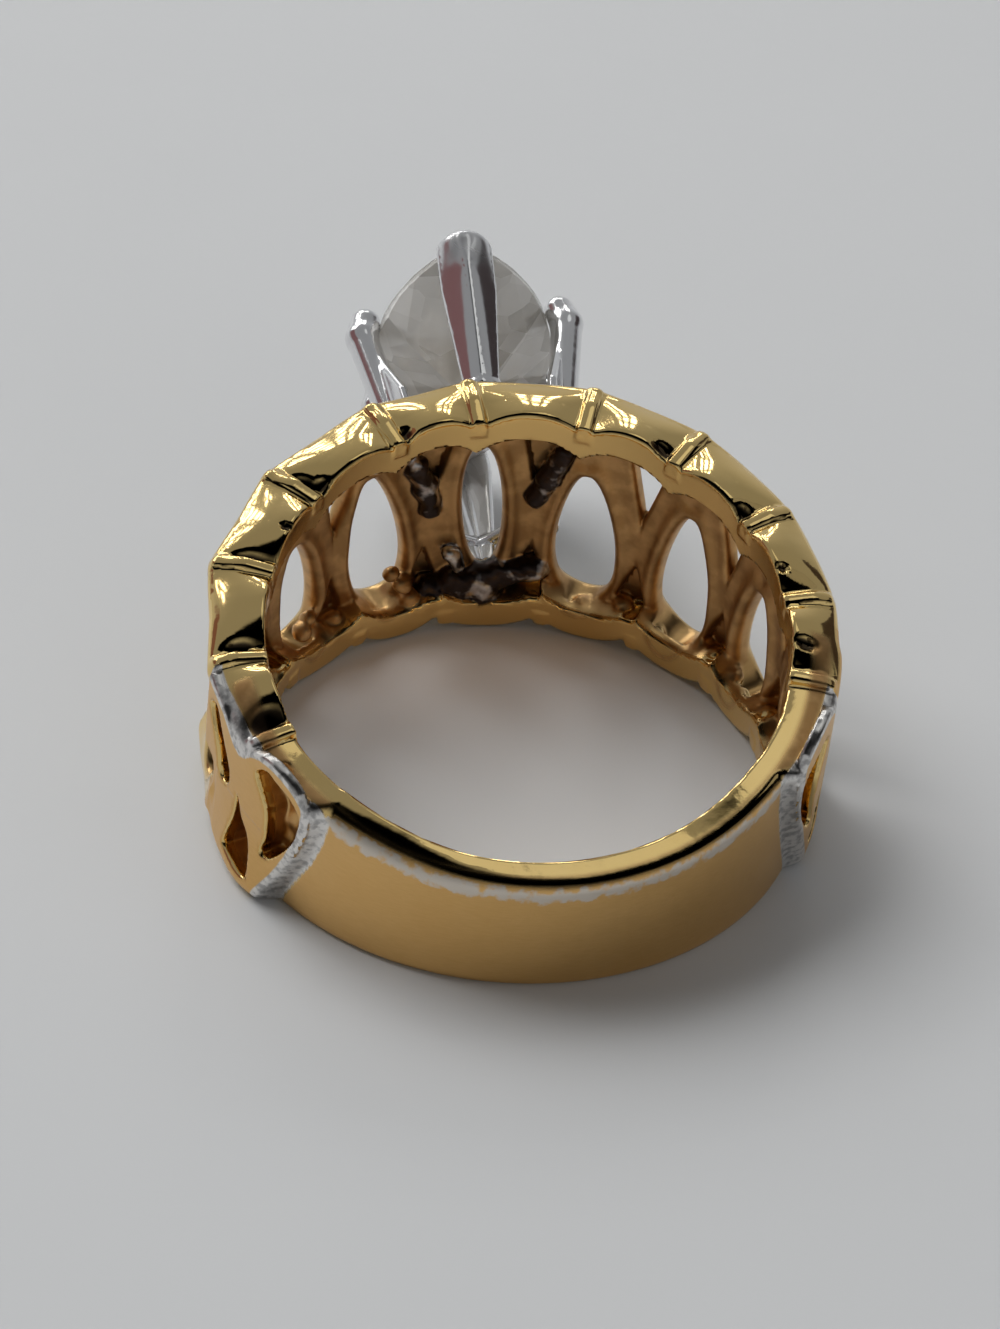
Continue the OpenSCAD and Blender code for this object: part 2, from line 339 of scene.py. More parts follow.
# Raised lip round the top of the last motif: angle from the head, depth under the crest plane
LIP = ((92, 0.6), (97, 0.56), (100, 0.58), (102.5, 0.76), (105, 1.05), (107.5, 1.14), (109.3, 0.9),
       (111.5, 0.4), (114, 0.08), (117, -0.1), (120, -0.12), (122.5, 0.0), (124.5, 0.2), (126, 0.6),
       (128, 1.2))
# Where the lip starts on the left and on the right
LIP_LEFT, LIP_RIGHT = 92, 108
# Angles between which the last motif is shaped, and the radius down to which it is cut
MOTIF_FROM, MOTIF_TO, MOTIF_FLOOR_R = 91, 132, 9.45
# Hollows of the last motif: distance along the arc from MOTIF_AT towards the shank, height over the table
MOTIF_AT = 117
HALF_MOON = ((-0.8, 5.6), (-0.25, 6.1), (0.34, 5.95), (0.99, 5.7), (1.45, 5.2), (1.5, 4.7), (1.32, 3.8),
             (0.82, 2.9), (0.35, 2.3), (0.04, 2.15), (-0.2, 2.3), (-0.06, 2.95), (-0.08, 4.15), (-0.4, 4.85))
LEAF = ((-1.75, 3.8), (-1.42, 3.0), (-0.95, 2.5), (-0.7, 1.9), (-0.5, 0.9), (-0.75, 0.65), (-1.5, 0.7),
        (-2.2, 0.8), (-2.35, 1.1), (-2.0, 2.3))
# The motif before it shows two narrow slits
SLIT = ((-4.3, 5.9), (-3.65, 6.3), (-3.0, 5.5), (-2.4, 4.5), (-2.4, 3.7), (-3.0, 3.5), (-3.35, 4.3),
        (-3.7, 5.0))
SLOT = ((-4.9, 3.1), (-4.5, 3.3), (-4.2, 2.9), (-4.35, 2.3), (-4.8, 2.0), (-5.1, 2.4))
# Radius within which solder fills the gaps; its dark colour is painted shade
SHADED_SOLDER_R = 9.95
# Lumps of rough casting: angle, height over the crests of the lower rim, radius from the axis, size
LUMPS = ((-84, 1.5, 9.35, 0.32), (-70, 1.5, 9.35, 0.34), (-60, 1.7, 9.4, 0.3), (-56, 1.3, 9.3, 0.3),
         (-41, 1.9, 9.35, 0.36), (-38.5, 2.2, 9.5, 0.3), (-35.5, 1.2, 9.25, 0.34), (-31, 1.6, 9.4, 0.3),
         (-17.9, 2.9, 9.3, 0.3), (-15.1, 2.3, 9.25, 0.36), (-12.8, 1.5, 9.2, 0.36), (-15.9, 1.0, 9.2, 0.34),
         (-9.6, 1.3, 9.2, 0.34), (25, 1.2, 9.4, 0.26), (34, 1.6, 9.5, 0.36), (37, 1.2, 9.3, 0.3),
         (43, 1.0, 9.25, 0.25), (54, 1.4, 9.4, 0.26), (58, 1.5, 9.45, 0.3), (60, 1.0, 9.3, 0.3),
         (65, 1.3, 9.35, 0.34), (69, 1.0, 9.25, 0.28), (80, 1.5, 9.35, 0.34))
# Crumpled solder round the middle oval, painted dark as shade with grey painted glints: both ends as angle,
# height, radius from the axis, and a size
SHADED_SOLDER = ((-13.6, 7.7, 9.6, -11.3, 6.75, 9.55, 0.42), (-11.3, 6.75, 9.55, -9.6, 5.6, 9.5, 0.4),
          (17.0, 8.1, 9.6, 14.8, 7.1, 9.55, 0.4), (14.8, 7.1, 9.55, 12.3, 5.9, 9.5, 0.4),
          (3.8, 1.5, 9.4, 3.0, 1.3, 9.4, 0.62), (-3.2, 2.0, 9.45, 0.5, 1.7, 9.45, 0.5),
          (0, 1.9, 9.5, 14, 2.5, 9.55, 0.55), (-8, 1.7, 9.5, 2, 1.6, 9.5, 0.5))
# A pale lump beside them, whose white colour is a painted highlight: both ends and a size
PAINTED_GLINT = (-4.6, 3.45, 9.25, -2.4, 2.75, 9.2, 0.3)
# Pits beside the ridges of the upper rim: angle, radius from the axis, half sizes along and across the rim
PITS = ((-106.2, 9.45, 0.5, 0.7), (-88.0, 9.66, 0.36, 0.6), (-66.3, 9.6, 0.34, 0.9), (-57, 8.95, 0.16, 0.22),
        (-44.0, 9.35, 0.28, 0.7), (-42.2, 8.98, 0.26, 0.26), (-19.6, 9.0, 0.36, 0.3),
        (38.6, 9.02, 0.4, 0.28), (62.2, 8.98, 0.36, 0.3), (79, 8.97, 0.16, 0.18), (98.6, 9.2, 0.24, 0.4))
PIT_DEPTH = 0.2


def rounded(points, steps=4):
    """Closed outline through the points without corners."""
    p = np.array(points, float)
    t = (np.arange(steps) / steps)[:, None]
    out = []
    for i in range(len(p)):
        a, b, c, d = p[i - 1], p[i], p[(i + 1) % len(p)], p[(i + 2) % len(p)]
        out.append(0.5 * (2 * b + (c - a) * t + (2 * a - 5 * b + 4 * c - d) * t ** 2
                          + (3 * b - a - 3 * c + d) * t ** 3))
    return np.concatenate(out)


def band_parts(p):
    """Everything the band's field and its layers of wear are made from."""
    x, y, t = p.T
    r = np.maximum(np.hypot(x, y), 1e-6)
    a = np.arctan2(x, y)
    deg = np.degrees(a)
    side = np.abs(deg)
    s_hi, s_lo = ridge_count(deg), ridge_count(deg + TWIST)
    outward = np.clip((r - LEVEL_FROM) / LEVEL_OVER, 0, 1)
    top = high_t(a, r) - lobe_cut(s_hi, SCALLOP) * (1 - outward) - SCALLOP * outward
    bot = low_t(a, r) + lobe_cut(s_lo, 0.0) * (1 - ramp(side, *SCALLOPS_END))
    share = np.clip((t - bot) / np.maximum(top - bot, 1), 0, 1)
    line = np.array(END_LINE)
    past = arc_mm(side - np.interp(share, line[:, 0], line[:, 1]), WALL_R)
    inner = np.minimum(top - t, t - bot)
    shank = ramp(past, -0.1, 0.55)
    s_near = np.where(share > 0.5, s_hi, s_lo)
    between = 1 - np.abs(2 * (s_near - np.floor(s_near)) - 1) ** 1.6
    rim = rim_r(a, share)
    out = rim - (0.2 - 0.1 * np.sin(a)) * between * (1 - ramp(side, *WAVES_END))
    out = out + (WAIST_R - out) * ramp(inner, 0.3, 2.0) * (1 - ramp(side, *WAIST_END))
    out = out + (SHANK_R - out) * shank
    lip = high_t(a, r) - np.interp(side, *np.array(LIP).T)
    return dict(rim=rim, lip=lip, a=a, deg=deg, side=side, r=r, t=t, s_hi=s_hi, s_lo=s_lo, top=top, bot=bot,
                past=past, inner=inner, shank=shank, out=out)


def lip_start(deg):
    """Angle from the head at which the motif's lip starts."""
    return np.where(deg > 0, LIP_RIGHT, LIP_LEFT)


def ring_point(deg, over, radius):
    """Point of the ring's frame at an angle from the head and a height over the lower rim's crests."""
    a = math.radians(deg)
    return np.array([radius * math.sin(a), radius * math.cos(a), over - radius * math.cos(a) * TAN_LEAN])


def casting_lumps(p):
    """Distance to the lumps of rough casting."""
    d = np.full(len(p), 1e3)
    for deg, over, radius, size in LUMPS:
        d = smooth_min(d, np.linalg.norm(p - ring_point(deg, over, radius), axis=1) - size, 0.12)
    return d + 0.04 * np.sin(6 * p[:, 0] + 2 * p[:, 2]) * np.sin(7 * p[:, 2] - 3 * p[:, 1])


def solder_field(p):
    """Lumps that fill the gaps beside the middle oval and lie under it, painted dark as shade with grey
    painted glints.
    """
    d = np.full(len(p), 1e3)
    for *ends, size in SHADED_SOLDER:
        d = smooth_min(d, capsule(p, ring_point(*ends[:3]), ring_point(*ends[3:]), size, size * 0.9), 0.25)
    d = smooth_min(d, painted_glint_field(p), 0.05)
    x, y, t = p.T
    coarse = 0.05 * np.sin(5 * x + 2 * t) * np.sin(5 * t - 3 * x)
    return d + coarse + 0.02 * np.sin(11 * x + 5 * y) * np.sin(9 * t)


# pale lump whose white colour is a painted highlight
def painted_glint_field(p):
    *ends, size = PAINTED_GLINT
    return capsule(p, ring_point(*ends[:3]), ring_point(*ends[3:]), size, size * 0.8)


def oval_field(deg, t, a):
    """Place along the rim as a count of ovals from the middle one, and distance to the nearest one's wall."""
    ovals = np.array(OVALS).T
    s_oval = np.interp(deg, ovals[0], np.arange(1.0 - LAST, LAST), -LAST, LAST)
    nearest = np.clip(np.round(s_oval) + LAST - 1, 0, len(OVALS) - 1).astype(int)
    centre, wide, foot, h, slant, taper = ovals[:, nearest]
    u = arc_mm(deg - centre, REF_R)
    v = t - low_t(a, REF_R) - foot - h
    c, s = np.cos(np.radians(slant)), np.sin(np.radians(slant))
    u, v = u * c + v * s, v * c - u * s
    w = wide * (1 - taper * np.clip(v / h, -1, 1))
    k0 = np.hypot(u / w, v / h)
    k1 = np.maximum(np.hypot(u / w ** 2, v / h ** 2), 1e-6)
    return s_oval, k0 * (k0 - 1) / k1


def rims_and_rails(q, oval):
    """The band's body with its rails, the thinner openwork between them, and the oval holes."""
    deg, side, r, t = q["deg"], q["side"], q["r"], q["t"]
    lip = np.exp(-((oval - 0.3) / 0.24) ** 2)
    # rims are domed across; the frames lie behind the inner rails, with a raised lip round each oval
    open_part = 1 - ramp(side, *OPENWORK_END)
    mid_r = (FINGER_R + q["out"]) / 2
    dome = 0.1 * (1 - q["shank"]) * ((r - mid_r) / 1.1) ** 2
    d_top = t - q["top"] + np.where(r > 9.6, 2.2, 1) * dome
    d_bot = q["bot"] - t + dome
    rough = 0.02 * np.sin(0.5 * deg + 1.1 * t) * np.sin(2.1 * t - 0.3 * deg)
    recess = FRAME_R - FINGER_R + BORE_PLAY - 0.14 * lip + rough
    recess = recess * ramp(q["inner"], RAIL - 0.1, RAIL + 0.25) * open_part
    outer = q["out"] - (0.12 - 0.14 * lip) * ramp(q["inner"], 1.2, 1.8) * open_part
    d_out, d_in = r - outer, FINGER_R + BORE_PLAY + recess - r
    # the shank's upper edge is rounder on the left
    edge = 0.3 + 0.12 * q["shank"] + 0.45 * np.exp(-((deg + 143) / 22) ** 2)
    d = smooth_max(d_top, d_out, edge)
    d = smooth_max(d, smooth_max(d_bot, d_out, 0.55 - 0.13 * q["shank"]), 0.05)
    d = smooth_max(d, d_in, 0.16)
    return smooth_max(d, -smooth_max(oval, FRAME_R - 0.3 - r, 0.1), 0.32)


def three_sided(base, u, half_w, tall):
    """Field of a gap that narrows from its base to a point, tall over the base."""
    wall = (np.abs(u) * tall - (tall - base) * half_w) / np.hypot(half_w, tall)
    return smooth_max(-base, wall, 0.3)


def cut_gaps(d, q, s_oval):
    """Cuts the gaps under the upper rim's lobes, and the blind hollows over the lower rail."""
    a, r, t = q["a"], q["r"], q["t"]
    half = (high_t(a, REF_R) - low_t(a, REF_R)) / 2
    c = np.floor(s_oval) + 0.5
    u = arc_mm((s_oval - c) * PITCH, REF_R)
    outside = np.abs(c) > LAST - 1
    gap = three_sided(high_t(a, r) - 0.3 - t - RAIL, u, GAP_W, 0.62 * half)
    gap = smooth_max(gap, FRAME_R - 0.3 - r, 0.2)
    # those beside the middle oval are filled with solder, whose dark colour is painted shade
    gap = np.where(outside, 1.0, np.where(np.abs(c) < 1, np.maximum(gap, r - SHADED_SOLDER_R), gap))
    d = smooth_max(d, -gap, 0.24)
    hollow = three_sided(t - low_t(a, r) - 0.3 - RAIL, u, GAP_W - 0.1, 0.36 * half)
    return smooth_max(d, -np.where(outside, 1.0, np.maximum(hollow, r - SHADED_SOLDER_R)), 0.2)


def cut_pits(d, q):
    """Cuts the pits beside the ridges of the upper rim."""
    a, deg, r, t = q["a"], q["deg"], q["r"], q["t"]
    near = (t > (high_t(a, r) + low_t(a, r)) / 2) & (q["side"] < 112)
    for deg_at, rad_at, along, across in PITS:
        here = near & (np.abs(deg - deg_at) < 12)
        if here.any():
            g = np.stack([arc_mm(deg[here] - deg_at, r[here]), r[here] - rad_at,
                          t[here] - q["top"][here]], 1) / [along, across, PIT_DEPTH]
            d[here] = smooth_max(d[here], (1 - np.linalg.norm(g, axis=1)) * PIT_DEPTH, 0.12)


def add_ridges(d, q):
    """Adds the rounded bars in the cusps of both rims. They sink into the rim towards its outer edge."""
    a, r, t = q["a"], q["r"], q["t"]
    low_angles = np.arange(-LAST, LAST + 1) * PITCH - TWIST
    for s, plane_t, angles, sign in ((q["s_hi"], high_t, np.array(RIDGE_AT), 1),
                                     (q["s_lo"], low_t, low_angles, -1)):
        k = np.clip(np.round(s), -LAST, LAST)
        ak = np.radians(angles[(k + LAST).astype(int)])
        u = (a - ak) * r
        sink = 0.03 + 0.27 * ramp(r, 9.7, 10.9)
        v = t - plane_t(ak, r) + sign * (SCALLOP + sink)
        bar = smooth_max(np.hypot(u, v * sign + 0.6) - 0.6 - RIDGE_R, np.abs(u) - RIDGE_R + 0.03, 0.12)
        bar = smooth_max(bar, -v * sign - 0.35, 0.1)
        bar = smooth_max(bar, r - rim_r(a, (1 + sign) / 2) + 0.12, 0.25)
        bar = smooth_max(bar, FINGER_R + 0.01 - r, 0.1)
        d = smooth_min(d, bar, 0.1)
    return d


def shape_motif(d, q):
    """Adds the lip round the last motif on both sides, and cuts its hollows."""
    near = (q["side"] > MOTIF_FROM) & (q["side"] < MOTIF_TO) & (q["r"] > LEVEL_FROM)
    if not near.any():
        return
    q = {key: value[near] for key, value in q.items()}
    a, side, r, t = q["a"], q["side"], q["r"], q["t"]
    middle = (high_t(a, r) + low_t(a, r)) / 2
    lip = smooth_max(t - q["lip"], np.abs(r - q["rim"] + 0.2) - 0.2, 0.16)
    lip = np.maximum(lip, np.maximum(middle - t, q["past"] - 0.1))
    part = smooth_min(d[near], np.maximum(lip, lip_start(q["deg"]) - side), 0.06)
    u, w = arc_mm(side - MOTIF_AT, MOTIF_R), t * math.cos(LEAN) + r * np.cos(a) * math.sin(LEAN)
    cut = np.full(u.shape, 1e3)
    for outline in (HALF_MOON, LEAF, SLIT, SLOT):
        cut = np.minimum(cut, polygon_field(u, w, rounded(outline)))
    crumple = 0.07 * np.sin(5 * u + 2 * w) * np.sin(4 * w - 3 * u)
    cut = smooth_max(cut + 0.04, MOTIF_FLOOR_R + crumple - r, 0.2)
    d[near] = smooth_max(part, -cut, 0.16)


def band_field(p):
    """Distance-like field of the whole band, in the ring's frame."""
    q = band_parts(p)
    s_oval, oval = oval_field(q["deg"], q["t"], q["a"])
    d = cut_gaps(rims_and_rails(q, oval), q, s_oval)
    near = (q["side"] < 96) & (q["r"] < WALL_R) & (q["inner"] > 0.2)
    if near.any():
        d[near] = smooth_min(d[near], casting_lumps(p[near]), 0.3)
        d[near] = smooth_min(d[near], solder_field(p[near]), 0.12)
    cut_pits(d, q)
    d = add_ridges(d, q)
    shape_motif(d, q)
    return d


def grid_angles():
    """Fine steps round the openwork, coarser ones round the plain shank."""
    fine, coarse, edge = 0.8, 1.5, 134
    a = np.arange(-edge, edge, fine)
    b = np.arange(a[-1] + fine, 360 + a[0] - 0.5 * coarse, coarse)
    return np.radians(np.concatenate([a, b]))


def band_mesh():
    """Points of the band in the ring's frame, its quads, and the points' normals."""
    step = 0.13
    angles, radii, heights = grid_angles(), np.arange(8.45, 11.6, step), np.arange(-1.75, 10.4, step)
    a, r, t = np.meshgrid(angles, radii, heights, indexing="ij")
    flat = np.stack([r * np.sin(a), r * np.cos(a), t], -1).reshape(-1, 3)
    points, quads = surface_nets(sample(band_field, flat, a.shape), True)
    turns = np.concatenate([angles, [angles[0] + 2 * math.pi]])
    ang = np.interp(points[:, 0], np.arange(len(turns)), turns)
    rad = radii[0] + points[:, 1] * (radii[1] - radii[0])
    hgt = heights[0] + points[:, 2] * (heights[1] - heights[0])
    points = np.stack([rad * np.sin(ang), rad * np.cos(ang), hgt], 1)
    points, normals = settle(points, band_field)
    return points, quads, normals


def white_layer(q, outward, painted_glint):
    """White plating: the bevelled wall at the motif's end, its border and the lip over it; and the pale lump,
    whose white is a painted highlight.
    """
    wall = np.minimum(0.44 - np.abs(q["past"] - 0.2), (outward - 0.3) * 1.2)
    trim = least(0.26 - (q["lip"] - q["t"]), 0.26 - np.abs(q["r"] - q["rim"] + 0.18),
                 q["side"] - lip_start(q["deg"]) + 1, 0.3 - q["past"])
    border = np.minimum(0.13 - np.abs(q["past"] + 0.12), outward - 0.3)
    white = np.minimum(np.maximum(np.maximum(wall, trim), border), q["r"] - 9.8)
    return np.maximum(white, 0.06 - painted_glint)


def satin_layer(q, outward):
    """Satin outer walls of the shank and of the last motif."""
    shank = np.minimum(q["past"] - 0.5, (outward - 0.6) * 2)
    return np.maximum(shank, least((q["side"] - 92) * 0.3, 0.1 - q["past"], (outward - 0.7) * 2))


def deep_layer(q):
    """The casting's inner faces between the rails, the walls of the ovals, and the motif's hollows, painted a
    darker brown as shade.
    """
    side, r = q["side"], q["r"]
    inside = least(q["inner"] - RAIL + 0.15, arc_mm(99 - side, WALL_R), WALL_R - r)
    oval = oval_field(q["deg"], q["t"], q["a"])[1]
    hole = np.minimum(0.2 - np.abs(oval), arc_mm(97 - side, WALL_R))
    floor = least(q["out"] - 0.3 - r, arc_mm(side - 95, WALL_R), r - 9.3)
    return np.maximum(np.maximum(inside, hole), floor)


def pit_layer(q):
    """Black painted shade and dark reflection in the pits beside the ridges of the upper rim."""
    near_top = (np.abs(q["top"] - q["t"]) < 0.9) & (q["r"] > FINGER_R + 0.12)
    pit = np.full(len(near_top), -1.0)
    for deg_at, rad_at, along, across in PITS:
        g = np.hypot(arc_mm(q["deg"] - deg_at, q["r"]) / along, (q["r"] - rad_at) / across)
        pit = np.maximum(pit, np.where(near_top, 1.0 - g, -1))
    ridge = arc_mm(np.abs(q["s_hi"] - np.round(q["s_hi"])) * PITCH, q["r"])
    return np.minimum(pit, (ridge - 0.28) * 3)


def build_band():
    """Band with its layers, each of which is above 0 where that look holds."""
    points, quads, normals = band_mesh()
    obj = make_piece("band_casting", ring_to_row(points), quads, ring_to_row(normals), "band")
    q, painted_glint = band_parts(points), painted_glint_field(points)
    outward = (normals[:, 0] * points[:, 0] + normals[:, 1] * points[:, 1]) / q["r"]
    add_layer(obj, "white", white_layer(q, outward, painted_glint))
    add_layer(obj, "satin", satin_layer(q, outward))
    # strip under the shank's upper edge, and the inner walls of the rails
    add_layer(obj, "worn", least(0.3 - np.abs(q["top"] - q["t"] - 0.42), q["past"], (outward - 0.72) * 3))
    # the rails' inner walls get a warmer, brighter gold, partly painted warm bounce light
    add_layer(obj, "ribbon", np.minimum((-outward - 0.6) * 2, FINGER_R + 0.1 - q["r"]))
    add_layer(obj, "deep", deep_layer(q))
    # solder: painted dark shade with grey painted glints
    add_layer(obj, "solder", np.minimum(0.1 - solder_field(points), painted_glint * 2))
    # pits painted black as shade and dark reflection
    add_layer(obj, "pit", pit_layer(q))
    return obj


# Setting

def stone_gap(p):
    """Rough field of the stone with a little room round it, for cutting its seat."""
    x, y, z = p.T
    girdle = lens(x, z, STONE_L / 2, STONE_W / 2)
    below = GIRDLE_Y - y
    shrink = STONE_W / 2 * np.clip(below / PAVILION_H, -0.3, 1.2)
    crown = 1.2 * np.clip(-below, 0, 3)
    return np.maximum(girdle + np.where(below > 0, shrink, crown) * 0.9, y - GIRDLE_Y - CROWN_H) - 0.05


def end_prong(p, z_sign):
    """Folded plate under one point of the stone, whose fold opens into a rounded tip."""
    x, y, z = p[:, 0], p[:, 1], p[:, 2] * z_sign
    foot_y, top_y, foot_z, top_z = 10.3, 17.3, 3.75, 5.6
    s = np.clip((y - foot_y) / (top_y - foot_y), 0, 1)
    tip = ramp(y, 15.9, 17.0)
    fold_z = foot_z + (top_z - foot_z) * s - 0.08 * tip
    ux = 0.34 + 0.42 * np.minimum(s / 0.75, 1) - 0.16 * tip
    uz = -(0.14 + 0.56 * s) * (1 - 0.3 * tip)
    ax, az = np.hypot(x, 0.12 * tip) - 0.12 * tip, z - fold_z
    k = np.clip((ax * ux + az * uz) / (ux * ux + uz * uz), 0, 1)
    plate = np.hypot(ax - k * ux, az - k * uz) - (0.18 + 0.04 * s + 0.04 * tip)
    plate -= (0.035 + 0.06 * tip) * (1 - (2 * k - 1) ** 2)
    plate = smooth_max(plate, y - 17.6, 0.6)
    claw = capsule(np.stack([x, y, z], 1), (0, 17.3, 5.1), (0, 17.55, 4.7), 0.42, 0.36)
    return smooth_min(plate, claw, 0.25)


def triangle(p, a, b, c):
    """Distance to a flat triangle."""
    a, b, c = (np.array(v, float) for v in (a, b, c))
    n = np.cross(b - a, c - a)
    n /= np.linalg.norm(n)
    height = (p - a) @ n
    inside = np.ones(len(p), bool)
    nearest = np.full(len(p), 1e9)
    for u, v in ((a, b), (b, c), (c, a)):
        e = v - u
        w = p - u
        inside &= (w @ np.cross(n, e)) >= 0
        s = np.clip((w @ e) / (e @ e), 0, 1)
        nearest = np.minimum(nearest, np.linalg.norm(w - s[:, None] * e, axis=1))
    return np.where(inside, np.abs(height), nearest)


def sheet(p, a, b, c, d):
    """Field of a four-sided sheet 0.36 thick."""
    return np.minimum(triangle(p, a, b, c), triangle(p, a, c, d)) - 0.18


def side_prong(p, lower):
    """One prong with the web beside it, both on the +X side."""
    wide, z = (0.84, 1.85) if lower else (1.0, 1.65)
    low = capsule(p, (2.6 * wide, 10.2, z), (3.6 * wide, 16.5, z), 0.48, 0.56)
    high = capsule(p, (3.6 * wide, 16.5, z), (3.42 * wide, 17.22, z), 0.56, 0.53)
    web = sheet(p, (3.25 * wide, 15.6, z), (2.5, 10.4, z), (2.35, 10.4, 2.8), (2.6, 12.7, 2.8))
    return smooth_min(smooth_min(low, high, 0.15), web, 0.2)


def setting_field(p):
    """Distance-like field of the setting, in the head's frame with y towards the stone's front."""
    q = p.copy()
    q[:, [0, 2]] = np.abs(q[:, [0, 2]])
    d = np.minimum(end_prong(p, 1), end_prong(p, -1))
    d = smooth_min(d, np.where(p[:, 2] > 0, side_prong(q, False), side_prong(q, True)), 0.05)
    d = smooth_min(d, sheet(q, (2.55, 10.4, 0), (2.55, 10.4, 1.7), (2.85, 12.9, 1.7), (2.85, 12.9, 0)), 0.15)
    x, y, z = p.T
    base_ring = np.hypot(lens(x, z, 4.0, 2.6), y - 11.5) - 0.28
    d = smooth_min(d, base_ring, 0.12)
    d = smooth_max(d, -stone_gap(p), 0.05)
    # the feet stand on the band's outer face
    q = head_to_ring(p)
    rim, rail = BAND_R + SWELL, SCALLOP + 1.4
    above, below = q[:, 2] - (high_t(0, rim) - rail), low_t(0, rim) + rail - q[:, 2]
    flare = np.clip(np.maximum(above, below) / 1.18, 0, 1) * (rim - WAIST_R)
    return smooth_max(d, WAIST_R + 0.05 + flare - np.hypot(q[:, 0], q[:, 1]), 0.05)


def build_setting():
    step, low, high = 0.1, (-4.6, 9.9, -6.2), (4.6, 18.6, 6.2)
    x, y, z = np.meshgrid(*[np.arange(a, b + step, step) for a, b in zip(low, high)], indexing="ij")
    flat = np.stack([x, y, z], -1).reshape(-1, 3)
    points, quads = surface_nets(sample(setting_field, flat, x.shape), False)
    points, normals = settle(np.array(low) + points * step, setting_field)
    obj = make_piece("prong_head", head_to_row(points), quads, head_normals_to_row(normals), "setting")
    add_layer(obj, "tip", ramp(points[:, 1], 15.7, 16.7) * (np.abs(points[:, 2]) > 3.5))
    return obj


# Stone

def outline_point(half_l, half_w, normal_deg):
    """Point of the two-pointed outline where its outward normal has that angle from x towards z."""
    arc = (half_l ** 2 + half_w ** 2) / (2 * half_w)
    off = arc - half_w
    s = -1 if math.cos(math.radians(normal_deg)) < 0 else 1
    limit = math.asin(half_l / arc)
    a = math.radians(normal_deg if s > 0 else 180 - normal_deg)
    a = (a + math.pi) % (2 * math.pi) - math.pi
    a = max(-limit, min(limit, a))
    return s * (arc * math.cos(a) - off), arc * math.sin(a)


def build_stone():
    """Stone, cut by planes from a blank with the outline of its girdle."""
    play, count, outline = 0.02, 64, []
    l, w = STONE_L / 2 - play, STONE_W / 2 - play
    for i in range(count):
        pt = outline_point(l, w, (i + 0.5) * 360 / count)
        if not outline or math.dist(pt, outline[-1]) > 0.02:
            outline.append(pt)
    bm = bmesh.new()
    low = [bm.verts.new((x, GIRDLE_Y - PAVILION_H - 0.5, z)) for x, z in outline]
    high = [bm.verts.new((x, GIRDLE_Y + CROWN_H, z)) for x, z in outline]
    bm.faces.new(low)
    bm.faces.new(list(reversed(high)))
    for i in range(len(outline)):
        j = (i + 1) % len(outline)
        bm.faces.new((low[i], high[i], high[j], low[j]))
    bmesh.ops.recalc_face_normals(bm, faces=bm.faces)

    def cut(point, normal):
        """Takes off what lies beyond a plane, and closes the cut."""
        found = bmesh.ops.bisect_plane(bm, geom=bm.verts[:] + bm.edges[:] + bm.faces[:], plane_co=point,
                                       plane_no=Vector(normal).normalized(), clear_outer=True, dist=1e-5)
        edges = [e for e in found["geom_cut"] if isinstance(e, bmesh.types.BMEdge)]
        if edges:
            bmesh.ops.contextual_create(bm, geom=edges)

    def around(step, offset, share=1):
        """Points of the outline at a share of its size, with their outward normals."""
        for i in range(round(360 / step)):
            n = i * step + offset
            a = math.radians(n)
            yield *outline_point(l * share, w * share, n), math.cos(a), math.sin(a)

    # pavilion: main facets meet near the keel, steeper ones lie beside the girdle
    drop = 0.12
    for step, offset, deep in ((45, 0, 1.0), (22.5, 11.25, 1.35)):
        for px, pz, nx, nz in around(step, offset):
            reach = px * nx + pz * nz
            fall = (PAVILION_H - drop) * deep * (reach / w) ** 0.35
            cut((px, GIRDLE_Y - drop, pz), (nx * fall, -reach, nz * fall))
    # crown: main facets, then those beside the girdle and beside the table
    for step, offset, slope, up, share in ((45, 0, 0.62, 0.1, 1), (22.5, 11.25, 0.85, 0.1, 1),
                                           (45, 22.5, 0.42, 0.55, 0.72)):
        for px, pz, nx, nz in around(step, offset, share):
            cut((px, GIRDLE_Y + up, pz), (nx * slope, 1, nz * slope))
    bmesh.ops.remove_doubles(bm, verts=bm.verts, dist=1e-4)
    bmesh.ops.recalc_face_normals(bm, faces=bm.faces)
    bm.verts.index_update()
    points = np.array([v.co[:] for v in bm.verts])
    faces = [[v.index for v in f.verts] for f in bm.faces]
    bm.free()
    obj = make_piece("marquise_stone", head_to_row(points), faces, None, "stone")
    add_layer(obj, "crown", points[:, 1] > GIRDLE_Y)
    return obj


# Materials

# Two linear colours for each look, between which a texture goes
TONES = {
    "polished": ((0.84, 0.59, 0.22, 1), (0.90, 0.67, 0.30, 1)),
    "satin": ((0.70, 0.40, 0.12, 1), (0.88, 0.575, 0.24, 1)),
    # darker brown painted shade for the recesses
    "recess_shade": ((0.46, 0.255, 0.10, 1), (0.70, 0.42, 0.18, 1)),
    "white": ((0.44, 0.43, 0.42, 1), (0.82, 0.80, 0.77, 1)),
    # the solder's tones are painted shade and grey painted glints
    "solder": ((0.045, 0.032, 0.028, 1), (0.62, 0.57, 0.54, 1)),
    "head": ((0.76, 0.76, 0.77, 1), (0.88, 0.88, 0.89, 1)),
    "stone": ((0.70, 0.67, 0.62, 1), (1.0, 0.99, 0.97, 1)),
    "table": ((0.60, 0.613, 0.628, 1), (0.63, 0.643, 0.658, 1)),
}
# the rails' gold is partly painted warm bounce light
RAIL_GOLD_AND_BOUNCE, PIT_PAINTED_SHADE, WORN_METAL = (0.95, 0.60, 0.21, 1), (0.05, 0.035, 0.025, 1), (0.74, 0.70, 0.64, 1)


